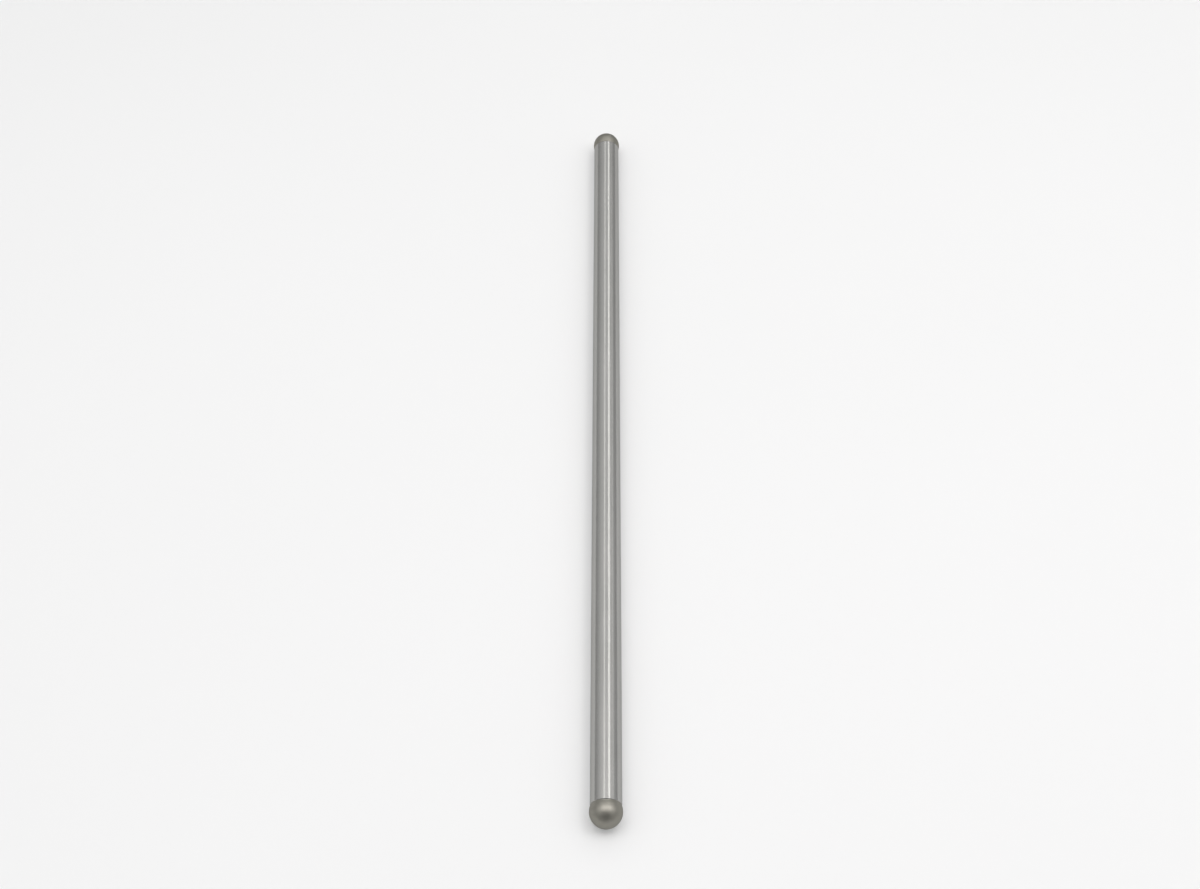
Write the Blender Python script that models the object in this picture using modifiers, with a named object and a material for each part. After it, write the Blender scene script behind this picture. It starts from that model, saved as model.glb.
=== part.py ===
# Engine pushrod: a straight steel tube with a hardened ball end pressed into each end.
# It lies along Y, with the tappet's ball towards -Y and the rocker's ball towards +Y.
# The origin is the middle of its length, on the axis. Lengths are in metres and +Z is up.

import math

import bpy

# Driving dimensions of the whole rod
OVERALL_LENGTH = 0.289  # over both balls
BALL_DIAMETER = 0.010
TUBE_OUTER_DIAMETER = 0.009525  # 3/8 in
TUBE_WALL = 0.0021
TUBE_END_TO_BALL_CENTRE = 0.0020

# Tube
OUTER_CHAMFER = 0.0002
BORE_CHAMFER = 0.0005

# Ball end, from the tube's end face towards the ball
SEAT_GAP = 0.0002  # between the tube's end face and the shoulder that seats on it
LAND_LENGTH = 0.0002  # narrow cylinder between the shoulder and the ball's ground surface
LAND_STEP = 0.00005  # how far the land lies inside the tube's outer surface

# Shank of the ball end, in the tube's bore
SHANK_CLEARANCE = 0.0001  # on the radius
SHANK_LENGTH = 0.012  # from the shoulder to the inner end
SHANK_FILLET = 0.0003  # where the shank meets the shoulder
LEAD_LENGTH = 0.0015  # taper that guides the shank into the bore
LEAD_DEPTH = 0.0003

# Facets
STEPS_AROUND = 64
FRONT_STEPS = 20  # from the ball's pole to its widest ring
BACK_STEPS = 4  # from there to the land
FILLET_STEPS = 3
SHARP_ANGLE = math.radians(25)

# Sizes that follow
BALL_RADIUS = BALL_DIAMETER / 2
TUBE_RADIUS = TUBE_OUTER_DIAMETER / 2
BORE_RADIUS = TUBE_RADIUS - TUBE_WALL
SHANK_RADIUS = BORE_RADIUS - SHANK_CLEARANCE
LAND_RADIUS = TUBE_RADIUS - LAND_STEP
BALL_CENTRE = OVERALL_LENGTH / 2 - BALL_RADIUS
TUBE_END = BALL_CENTRE - TUBE_END_TO_BALL_CENTRE


def clear_scene():
    for old in list(bpy.data.objects):
        bpy.data.objects.remove(old, do_unlink=True)


def new_collection(name):
    collection = bpy.data.collections.new(name)
    bpy.context.scene.collection.children.link(collection)
    return collection


def steel(name, colour, roughness):
    material = bpy.data.materials.new(name)
    material.use_nodes = True
    shader = material.node_tree.nodes["Principled BSDF"]
    shader.inputs["Base Color"].default_value = (*colour, 1.0)
    shader.inputs["Metallic"].default_value = 1.0
    shader.inputs["Roughness"].default_value = roughness
    return material


def arc(centre_radius, centre_height, radius, start, end, steps):
    """Points (radius, height) of an arc, with its angles measured from the +Z direction."""
    points = []
    for step in range(steps + 1):
        angle = start + (end - start) * step / steps
        points.append((
            centre_radius + radius * math.sin(angle),
            centre_height + radius * math.cos(angle),
        ))
    return points


def turned_mesh(name, profile, closed):
    """Turn a profile about Z. It runs from top to bottom on its outer side."""
    outline = bpy.data.meshes.new(name + "_profile")
    edges = [(i, i + 1) for i in range(len(profile) - 1)]
    if closed:
        edges.append((len(profile) - 1, 0))
    outline.from_pydata([(radius, 0.0, height) for radius, height in profile], edges, [])

    lathe = bpy.data.objects.new(name + "_profile", outline)
    bpy.context.scene.collection.objects.link(lathe)
    screw = lathe.modifiers.new("Turn", "SCREW")
    screw.axis = "Z"
    screw.steps = STEPS_AROUND
    screw.render_steps = STEPS_AROUND
    screw.use_merge_vertices = True
    screw.merge_threshold = 0.00001

    turned = bpy.data.meshes.new_from_object(lathe.evaluated_get(bpy.context.evaluated_depsgraph_get()))
    turned.name = name
    turned.shade_smooth()
    turned.set_sharp_from_angle(angle=SHARP_ANGLE)
    bpy.data.objects.remove(lathe, do_unlink=True)
    bpy.data.meshes.remove(outline)
    return turned


def tube_profile():
    """Wall section: the outer side from top to bottom, then the bore from bottom to top."""
    return [
        (TUBE_RADIUS - OUTER_CHAMFER, TUBE_END),
        (TUBE_RADIUS, TUBE_END - OUTER_CHAMFER),
        (TUBE_RADIUS, -TUBE_END + OUTER_CHAMFER),
        (TUBE_RADIUS - OUTER_CHAMFER, -TUBE_END),
        (BORE_RADIUS + BORE_CHAMFER, -TUBE_END),
        (BORE_RADIUS, -TUBE_END + BORE_CHAMFER),
        (BORE_RADIUS, TUBE_END - BORE_CHAMFER),
        (BORE_RADIUS + BORE_CHAMFER, TUBE_END),
    ]


def ball_end_profile():
    """Ball, land, shoulder and shank, from the ball's pole down to the shank's inner end.
    The height is measured from the ball's centre."""
    shoulder = SEAT_GAP - TUBE_END_TO_BALL_CENTRE
    ball_edge = shoulder + LAND_LENGTH
    inner_end = shoulder - SHANK_LENGTH
    front = arc(0.0, 0.0, BALL_RADIUS, 0.0, math.pi / 2, FRONT_STEPS)
    back = arc(0.0, 0.0, BALL_RADIUS, math.pi / 2, math.acos(ball_edge / BALL_RADIUS), BACK_STEPS)
    fillet = arc(
        SHANK_RADIUS + SHANK_FILLET, shoulder - SHANK_FILLET, SHANK_FILLET,
        0.0, -math.pi / 2, FILLET_STEPS,
    )
    return [
        *front,
        *back[1:],
        (LAND_RADIUS, ball_edge),
        (LAND_RADIUS, shoulder),
        *fillet,
        (SHANK_RADIUS, inner_end + LEAD_LENGTH),
        (SHANK_RADIUS - LEAD_DEPTH, inner_end),
        (0.0, inner_end),
    ]


def place(name, mesh, y, tilt, material, collection):
    """Lay a turned mesh along Y: a tilt of -90 degrees turns its top towards +Y, and +90 towards -Y."""
    piece = bpy.data.objects.new(name, mesh)
    piece.location = (0.0, y, 0.0)
    piece.rotation_euler = (math.radians(tilt), 0.0, 0.0)
    mesh.materials.append(material)
    collection.objects.link(piece)
    return piece


def build():
    clear_scene()
    rod = new_collection("engine_pushrod")
    ground_steel = steel("ground_steel", (0.56, 0.56, 0.55), 0.24)
    tappet_steel = steel("tappet_ball_steel", (0.44, 0.43, 0.40), 0.38)
    rocker_steel = steel("rocker_ball_steel", (0.44, 0.43, 0.40), 0.38)

    tube = turned_mesh("push_tube", tube_profile(), closed=True)
    tappet_end = turned_mesh("tappet_ball_end", ball_end_profile(), closed=False)
    rocker_end = tappet_end.copy()
    rocker_end.name = "rocker_ball_end"

    place("push_tube", tube, 0.0, -90.0, ground_steel, rod)
    place("tappet_ball_end", tappet_end, -BALL_CENTRE, 90.0, tappet_steel, rod)
    place("rocker_ball_end", rocker_end, BALL_CENTRE, -90.0, rocker_steel, rod)


build()
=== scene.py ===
# Engine pushrod lying on a pale table: a ground steel tube with a hardened ball end in each end.
# Lengths are in metres. The rod lies along Y, with its tappet end towards -Y, nearest the camera.

import math

import bmesh
import bpy
from mathutils import Matrix, Vector


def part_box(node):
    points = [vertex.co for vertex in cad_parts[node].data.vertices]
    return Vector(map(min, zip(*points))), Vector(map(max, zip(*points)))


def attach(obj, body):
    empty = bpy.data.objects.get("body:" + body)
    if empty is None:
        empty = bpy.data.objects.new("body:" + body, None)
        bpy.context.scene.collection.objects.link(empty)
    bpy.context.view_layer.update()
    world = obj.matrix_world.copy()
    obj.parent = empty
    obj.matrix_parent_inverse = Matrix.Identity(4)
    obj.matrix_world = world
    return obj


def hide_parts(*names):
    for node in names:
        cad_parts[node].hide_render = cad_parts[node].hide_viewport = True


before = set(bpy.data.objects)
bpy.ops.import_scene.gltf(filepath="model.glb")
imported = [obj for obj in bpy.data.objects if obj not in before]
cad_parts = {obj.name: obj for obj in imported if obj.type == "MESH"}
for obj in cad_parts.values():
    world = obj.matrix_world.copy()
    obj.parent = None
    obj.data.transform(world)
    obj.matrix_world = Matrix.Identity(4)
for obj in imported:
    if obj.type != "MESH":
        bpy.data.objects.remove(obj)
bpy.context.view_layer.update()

# Sizes read from the solids
_, tube_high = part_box("push_tube")
ball_low, ball_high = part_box("rocker_ball_end")
TUBE_END = tube_high[1]
TUBE_RADIUS = tube_high[2]
BALL_RADIUS = ball_high[2]
BALL_CENTRE = ball_high[1] - BALL_RADIUS
SHANK_END = ball_low[1]
TABLE_TOP = -BALL_RADIUS

# Sizes of the turned forms, as on the solids
TUBE_WALL = 0.0021
OUTER_CHAMFER = 0.0002
BORE_CHAMFER = 0.0005
LAND_STEP = 0.00005
SHANK_CLEARANCE = 0.0001
LEAD_LENGTH = 0.0015
LEAD_DEPTH = 0.0003
SEAM = 0.00007  # hairline that stays between the tube's end and the shoulder seated on it

# Fineness of the round surfaces
AROUND = 192
BALL_RINGS = 96
EDGE_BREAK = 0.00003  # the small radius that turning and tumbling leave on every edge
EDGE_STEPS = 3
SHARP_ANGLE = math.radians(35)
LEVEL = 0.00001  # points closer than this count as level with each other
END_FACING = 0.9  # a face whose normal lies at least this much along Y closes an end

# Patterns of the finishes, in cells per metre: across, along and across the rod, or alike all ways
GRINDING_RINGS = (300.0, 4000.0, 300.0)  # 3.3 mm round the tube and 0.25 mm along it
LOBES = (500.0, 110.0, 500.0)  # 2 mm wide and 9 mm long
OIL_FILM = (160.0, 60.0, 160.0)  # 6 mm wide and 17 mm long
HEAT_BLOTCHES = 420.0  # 2.4 mm
TUMBLING_MARKS = 6500.0  # 0.15 mm
TABLE_CLOUDS = 6.0  # 170 mm
NOISE_LOW, NOISE_HIGH = 0.3, 0.7  # nearly all of a noise's values lie between these
STEEL_EDGE_TINT = "CCCCCC"  # what steel reflects at a grazing angle, against its own colour face on

# Camera, from the photograph: image centre (600, 444.5) of 1200 by 889 pixels.
# The distances are measured from the point of the table that lies under the tappet's ball.
IMAGE_WIDTH = 1200
FOCAL_PIXELS = 1550
SENSOR_WIDTH = 36.0
CAMERA_ABOVE_TABLE = 0.4328
CAMERA_BEFORE_BALL = 0.1794  # level distance, along the camera's heading
CAMERA_ASIDE = 0.0031  # to the left of the ball
CAMERA_PITCH = math.radians(53.92)
CAMERA_ROLL = math.radians(0.72)
CAMERA_HEADING = math.radians(-0.42)  # from the rod's direction, positive towards the left
NEAREST_SEEN = 0.01

# Light. Levels are relative to white.
LAMP_HEIGHT = 0.9  # of the soft boxes, over the rod's axis
DAYLIGHT = (1.0, 0.99, 0.97)
ROSY_LIGHT = (1.0, 0.94, 0.96)
TABLE_SIZE = 8.0
TABLE_OWN_SHARE = 0.22  # how much of the table's look is its even light
TABLE_OWN_LEVEL = 0.85

# Room. Heights are the upward part of a direction, from 0 at the horizon to 1 straight up.
WALL_FOOT_LEVEL = 0.34
WALL_TOP_LEVEL = 0.86
WALL_TOP_HEIGHT = 0.76
DARK_PATCH = (0.0, -0.68, 0.733)  # direction of its middle
DARK_PATCH_RIM = 0.72  # cosine of the angle from its middle at which it starts
DARK_PATCH_CORE = 0.95  # the same, at which it is darkest
DARK_PATCH_SHARE = 0.20  # of the wall's light that is left there
FAR_TABLE_LEVEL = 0.64  # as the table looks at its far edge
FAR_TABLE_HEIGHT = 0.35  # where that has faded out


def linear(hex_colour):
    """sRGB hex, such as "A0A09C", as a linear colour."""
    values = [int(hex_colour[i:i + 2], 16) / 255 for i in (0, 2, 4)]
    return (*(v / 12.92 if v <= 0.04045 else ((v + 0.055) / 1.055) ** 2.4 for v in values), 1.0)


def add_node(tree, kind, inputs=None, **settings):
    """Adds a shader node. Each input takes a value or another node's output socket."""
    node = tree.nodes.new("ShaderNode" + kind)
    for name, value in settings.items():
        setattr(node, name, value)
    for name, value in (inputs or {}).items():
        if isinstance(value, bpy.types.NodeSocket):
            tree.links.new(value, node.inputs[name])
        else:
            node.inputs[name].default_value = value
    return node


def new_material(name):
    material = bpy.data.materials.new(name)
    material.use_nodes = True
    tree = material.node_tree
    tree.nodes.clear()
    return material, tree


def ground_tube_steel():
    """Cold drawn carbon steel tube, centreless ground and wiped with oil.
    Each lamp shows in it as a narrow bright line along the tube. The fine rings that the wheel leaves
    soften the line, and the slight lobes of centreless grinding make its width waver."""
    material, tree = new_material("centreless_ground_steel")
    place = add_node(tree, "TexCoord").outputs["Object"]

    # Grinding rings are about 0.02 mm apart. They are drawn 0.25 mm apart here, to show at all.
    rings_place = add_node(tree, "Mapping", {"Vector": place, "Scale": GRINDING_RINGS})
    rings = add_node(tree, "TexNoise", {"Vector": rings_place.outputs[0], "Scale": 1.0, "Detail": 2.0})
    lobes_place = add_node(tree, "Mapping", {"Vector": place, "Scale": LOBES})
    lobes = add_node(tree, "TexNoise", {"Vector": lobes_place.outputs[0], "Scale": 1.0, "Detail": 2.0})
    # Where the oil film is thicker, the steel is a little lighter and duller
    film_place = add_node(tree, "Mapping", {"Vector": place, "Scale": OIL_FILM})
    film = add_node(tree, "TexNoise", {"Vector": film_place.outputs[0], "Scale": 1.0, "Detail": 4.0})

    colour = add_node(tree, "MixRGB", {
        "Fac": film.outputs["Fac"], "Color1": linear("A8A8A5"), "Color2": linear("B2B1AF")})
    roughness = add_node(tree, "MapRange", {
        "Value": film.outputs["Fac"], "From Min": NOISE_LOW, "From Max": NOISE_HIGH,
        "To Min": 0.18, "To Max": 0.23})
    lobe_bump = add_node(tree, "Bump", {
        "Height": lobes.outputs["Fac"], "Strength": 0.10, "Distance": 0.0002})
    ring_bump = add_node(tree, "Bump", {
        "Height": rings.outputs["Fac"], "Strength": 0.10, "Distance": 0.00005,
        "Normal": lobe_bump.outputs[0]})
    steel = add_node(tree, "BsdfPrincipled", {
        "Base Color": colour.outputs[0], "Metallic": 1.0, "Roughness": roughness.outputs[0],
        "Specular Tint": linear(STEEL_EDGE_TINT), "Normal": ring_bump.outputs[0]})
    add_node(tree, "OutputMaterial", {"Surface": steel.outputs[0]})
    return material


def hardened_ball_steel():
    """Bearing steel, turned, hardened right through and ground, then tumbled to a satin.
    Hardening leaves it a warmer and darker grey than the tube, and the satin spreads each light."""
    material, tree = new_material("hardened_satin_steel")
    place = add_node(tree, "TexCoord").outputs["Object"]

    blotches = add_node(tree, "TexNoise", {"Vector": place, "Scale": HEAT_BLOTCHES, "Detail": 4.0})
    # Tumbling marks are about 0.05 mm. They are drawn 0.15 mm apart here, to show at all.
    marks = add_node(tree, "TexNoise", {"Vector": place, "Scale": TUMBLING_MARKS, "Detail": 2.0})

    colour = add_node(tree, "MixRGB", {
        "Fac": blotches.outputs["Fac"], "Color1": linear("8E8C83"), "Color2": linear("97958E")})
    roughness = add_node(tree, "MapRange", {
        "Value": blotches.outputs["Fac"], "From Min": NOISE_LOW, "From Max": NOISE_HIGH,
        "To Min": 0.40, "To Max": 0.46})
    bump = add_node(tree, "Bump", {
        "Height": marks.outputs["Fac"], "Strength": 0.06, "Distance": 0.00003})
    steel = add_node(tree, "BsdfPrincipled", {
        "Base Color": colour.outputs[0], "Metallic": 1.0, "Roughness": roughness.outputs[0],
        "Specular Tint": linear(STEEL_EDGE_TINT), "Normal": bump.outputs[0]})
    add_node(tree, "OutputMaterial", {"Surface": steel.outputs[0]})
    return material


def table_laminate():
    """White matt laminate: even and smooth, with no gloss and no pattern to show."""
    material, tree = new_material("white_matt_laminate")
    place = add_node(tree, "TexCoord").outputs["Object"]
    tone = add_node(tree, "TexNoise", {"Vector": place, "Scale": TABLE_CLOUDS, "Detail": 2.0})
    colour = add_node(tree, "MixRGB", {
        "Fac": tone.outputs["Fac"], "Color1": linear("F3F4F4"), "Color2": linear("F5F6F6")})
    laminate = add_node(tree, "BsdfPrincipled", {
        "Base Color": colour.outputs[0], "Roughness": 0.6, "Specular IOR Level": 0.3})

    # The camera and the steel see a share of even light on it, as from far beyond the picture, which
    # thins the shadow. That share lights nothing.
    seen = add_node(tree, "LightPath")
    mirrored = add_node(tree, "Math", {
        0: seen.outputs["Is Glossy Ray"], 1: seen.outputs["Is Transmission Ray"]}, operation="MAXIMUM")
    either = add_node(tree, "Math", {
        0: seen.outputs["Is Camera Ray"], 1: mirrored.outputs[0]}, operation="MAXIMUM")
    share = add_node(tree, "Math", {0: either.outputs[0], 1: TABLE_OWN_SHARE}, operation="MULTIPLY")
    even_light = add_node(tree, "Emission", {"Color": colour.outputs[0], "Strength": TABLE_OWN_LEVEL})
    surface = add_node(tree, "MixShader", {"Fac": share.outputs[0]})
    tree.links.new(laminate.outputs[0], surface.inputs[1])
    tree.links.new(even_light.outputs[0], surface.inputs[2])
    add_node(tree, "OutputMaterial", {"Surface": surface.outputs[0]})
    return material


def pick(piece):
    """Selects the piece alone."""
    for thing in bpy.context.selected_objects:
        thing.select_set(False)
    piece.select_set(True)
    bpy.context.view_layer.objects.active = piece


def open_mesh(piece):
    pick(piece)
    bpy.ops.object.mode_set(mode="EDIT")
    bpy.ops.mesh.select_all(action="DESELECT")


def close_mesh():
    bpy.ops.object.mode_set(mode="OBJECT")


def select_in(piece, kind, test):
    """Selects the faces, edges or verts for which the test is true."""
    cage = bmesh.from_edit_mesh(piece.data)
    bpy.ops.mesh.select_all(action="DESELECT")
    mode = {"faces": "FACE", "edges": "EDGE", "verts": "VERT"}[kind]
    bpy.ops.mesh.select_mode(type=mode)
    for element in getattr(cage, kind):
        if test(element):
            element.select_set(True)
    bmesh.update_edit_mesh(piece.data)


def middle(edge):
    return (edge.verts[0].co + edge.verts[1].co) / 2


def off_axis(point):
    return math.hypot(point.x, point.z)


def in_end_ring(edge):
    """True for an edge that runs round the tube in the plane of one of its ends."""
    start, end = (vert.co for vert in edge.verts)
    return abs(middle(edge).y) > TUBE_END - LEVEL and abs(off_axis(start) - off_axis(end)) < LEVEL


def finish_piece(piece, material, node):
    """Breaks the edges, sets the shading and the finish, and seats the piece in the frame."""
    pick(piece)
    bevel = piece.modifiers.new("Broken edges", "BEVEL")
    bevel.width = EDGE_BREAK
    bevel.segments = EDGE_STEPS
    bevel.limit_method = "ANGLE"
    bevel.angle_limit = SHARP_ANGLE
    bpy.ops.object.modifier_apply(modifier=bevel.name)
    bpy.ops.object.shade_smooth_by_angle(angle=SHARP_ANGLE)
    # The long faces keep their own direction, and only the broken edges shade round
    shading = piece.modifiers.new("Shading by area", "WEIGHTED_NORMAL")
    shading.keep_sharp = True
    bpy.ops.object.modifier_apply(modifier=shading.name)
    piece.data.materials.clear()
    piece.data.materials.append(material)
    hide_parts(node)
    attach(piece, "root")


def make_tube():
    """Bore the cylinder through, then chamfer both ends inside and out."""
    bpy.ops.mesh.primitive_cylinder_add(
        vertices=AROUND, radius=TUBE_RADIUS, depth=2 * TUBE_END, end_fill_type="NGON",
        rotation=(math.radians(90), 0.0, 0.0))
    tube = bpy.context.object
    tube.name = "ground_push_tube"
    bpy.ops.object.transform_apply(location=False, rotation=True, scale=False)
    wall_middle = TUBE_RADIUS - TUBE_WALL / 2

    open_mesh(tube)
    select_in(tube, "faces", lambda face: abs(face.normal.y) > END_FACING)
    bpy.ops.mesh.inset(thickness=TUBE_WALL, depth=0.0)
    bpy.ops.mesh.delete(type="FACE")
    select_in(tube, "edges", lambda edge: edge.is_boundary)
    bpy.ops.mesh.bridge_edge_loops()
    select_in(tube, "edges", lambda edge: in_end_ring(edge) and off_axis(middle(edge)) > wall_middle)
    bpy.ops.mesh.bevel(offset=OUTER_CHAMFER, offset_type="OFFSET", segments=1, affect="EDGES")
    select_in(tube, "edges", lambda edge: in_end_ring(edge) and off_axis(middle(edge)) < wall_middle)
    bpy.ops.mesh.bevel(offset=BORE_CHAMFER, offset_type="OFFSET", segments=1, affect="EDGES")
    bpy.ops.mesh.select_all(action="SELECT")
    bpy.ops.mesh.normals_make_consistent(inside=False)
    close_mesh()
    return tube


def draw_out(stations, radius, y):
    """Extrudes the selected ring through each (radius, y) station in turn."""
    for next_radius, next_y in stations:
        bpy.ops.mesh.extrude_edges_move(TRANSFORM_OT_translate={"value": (0.0, next_y - y, 0.0)})
        scale = next_radius / radius
        bpy.ops.transform.resize(value=(scale, 1.0, scale), center_override=(0.0, next_y, 0.0))
        radius, y = next_radius, next_y


def make_ball_end():
    """Cut a ball off behind its middle and draw the cut ring out into the land, shoulder and shank."""
    shoulder = TUBE_END + SEAM
    land = TUBE_RADIUS - LAND_STEP
    ball_edge = BALL_CENTRE - math.sqrt(BALL_RADIUS ** 2 - land ** 2)
    shank = TUBE_RADIUS - TUBE_WALL - SHANK_CLEARANCE

    bpy.ops.mesh.primitive_uv_sphere_add(
        segments=AROUND, ring_count=BALL_RINGS, radius=BALL_RADIUS,
        location=(0.0, BALL_CENTRE, 0.0), rotation=(math.radians(90), 0.0, 0.0))
    ball = bpy.context.object
    ball.name = "rocker_ball"
    bpy.ops.object.transform_apply(location=True, rotation=True, scale=False)

    open_mesh(ball)
    bpy.ops.mesh.select_all(action="SELECT")
    bpy.ops.mesh.bisect(
        plane_co=(0.0, ball_edge, 0.0), plane_no=(0.0, 1.0, 0.0), clear_inner=True, use_fill=False)
    select_in(ball, "edges", lambda edge: edge.is_boundary)
    draw_out([
        (land, shoulder),
        (shank, shoulder),
        (shank, SHANK_END + LEAD_LENGTH),
        (shank - LEAD_DEPTH, SHANK_END),
    ], land, ball_edge)
    bpy.ops.mesh.edge_face_add()
    bpy.ops.mesh.select_all(action="SELECT")
    bpy.ops.mesh.normals_make_consistent(inside=False)
    # The ball meets the land at too slight an angle to show as an edge by itself
    select_in(ball, "edges", lambda edge: all(abs(end.co.y - ball_edge) < LEVEL for end in edge.verts))
    bpy.ops.mesh.mark_sharp()
    close_mesh()
    return ball


def turned_to_other_end(piece, name):
    """A copy with its own mesh, turned half way round Z about the middle of the rod."""
    twin = piece.copy()
    twin.data = piece.data.copy()
    twin.data.transform(Matrix.Rotation(math.pi, 4, "Z"))
    twin.name = name
    bpy.context.scene.collection.objects.link(twin)
    return twin


def make_table():
    bpy.ops.mesh.primitive_plane_add(size=TABLE_SIZE, location=(0.0, 0.0, TABLE_TOP))
    table = bpy.context.object
    table.name = "table"
    table.data.materials.append(table_laminate())


def soft_box(name, x, y, width, length, radiance, lift=0.0, colour=DAYLIGHT):
    """A flat lamp over the table, facing down. Its radiance is relative to white."""
    lamp = bpy.data.lights.new(name, "AREA")
    lamp.shape = "RECTANGLE"
    lamp.size = width
    lamp.size_y = length
    lamp.energy = radiance * math.pi * width * length
    lamp.color = colour
    holder = bpy.data.objects.new(name, lamp)
    holder.location = (x, y, LAMP_HEIGHT + lift)
    bpy.context.scene.collection.objects.link(holder)
    return holder


def make_world():
    """A soft room: walls that are dim at their foot and lighter overhead, with a dark patch in front of
    the rod's tappet end, where nothing lights it. At the horizon it looks as the far table does."""
    world = bpy.data.worlds.new("soft_room")
    world.use_nodes = True
    tree = world.node_tree
    tree.nodes.clear()
    place = add_node(tree, "TexCoord").outputs["Generated"]
    height = add_node(tree, "SeparateXYZ", {"Vector": place}).outputs["Z"]
    walls = add_node(tree, "MapRange", {
        "Value": height, "From Min": 0.0, "From Max": WALL_TOP_HEIGHT,
        "To Min": WALL_FOOT_LEVEL, "To Max": WALL_TOP_LEVEL})
    to_dark_patch = add_node(tree, "VectorMath", {0: place, 1: DARK_PATCH}, operation="DOT_PRODUCT")
    dimming = add_node(tree, "MapRange", {
        "Value": to_dark_patch.outputs["Value"],
        "From Min": DARK_PATCH_RIM, "From Max": DARK_PATCH_CORE,
        "To Min": 1.0, "To Max": DARK_PATCH_SHARE})
    dimmed = add_node(tree, "Math", {0: walls.outputs[0], 1: dimming.outputs[0]}, operation="MULTIPLY")
    far_table = add_node(tree, "MapRange", {
        "Value": height, "From Min": 0.0, "From Max": FAR_TABLE_HEIGHT,
        "To Min": FAR_TABLE_LEVEL, "To Max": 0.0})
    level = add_node(tree, "Math", {0: dimmed.outputs[0], 1: far_table.outputs[0]}, operation="MAXIMUM")
    room = add_node(tree, "Background", {"Color": (1.0, 1.0, 1.0, 1.0), "Strength": level.outputs[0]})
    add_node(tree, "OutputWorld", {"Surface": room.outputs[0]})
    bpy.context.scene.world = world


def make_camera():
    lens = bpy.data.cameras.new("camera")
    lens.sensor_width = SENSOR_WIDTH
    lens.lens = FOCAL_PIXELS / IMAGE_WIDTH * SENSOR_WIDTH
    lens.clip_start = NEAREST_SEEN
    camera = bpy.data.objects.new("camera", lens)
    heading = Matrix.Rotation(CAMERA_HEADING, 4, "Z")
    under_ball = Vector((0.0, -BALL_CENTRE, TABLE_TOP))
    stand = heading @ Vector((-CAMERA_ASIDE, -CAMERA_BEFORE_BALL, CAMERA_ABOVE_TABLE))
    tilt = Matrix.Rotation(math.radians(90) - CAMERA_PITCH, 4, "X")
    roll = Matrix.Rotation(CAMERA_ROLL, 4, "Z")
    camera.matrix_world = Matrix.Translation(under_ball + stand) @ heading @ tilt @ roll
    bpy.context.scene.collection.objects.link(camera)
    bpy.context.scene.camera = camera


make_camera()
make_world()
soft_box("left_strip", x=-0.21, y=0.7, width=0.09, length=1.9, radiance=1.15)
soft_box("right_strip", x=0.352, y=0.7, width=0.14, length=1.9, radiance=1.9)
soft_box("window", x=1.12, y=0.7, width=0.15, length=1.9, radiance=0.65)
soft_box("overhead_glow", x=0.25, y=-0.10, width=3.6, length=0.4, radiance=0.72)
soft_box(
    "overhead_box", x=0.12, y=-0.07, width=1.3, length=0.45, radiance=1.29, lift=-0.02,
    colour=ROSY_LIGHT)
make_table()

tube = make_tube()
rocker_ball = make_ball_end()
tappet_ball = turned_to_other_end(rocker_ball, "tappet_ball")
ball_steel = hardened_ball_steel()
finish_piece(tube, ground_tube_steel(), "push_tube")
finish_piece(rocker_ball, ball_steel, "rocker_ball_end")
finish_piece(tappet_ball, ball_steel, "tappet_ball_end")

bpy.context.scene.view_settings.view_transform = "Standard"
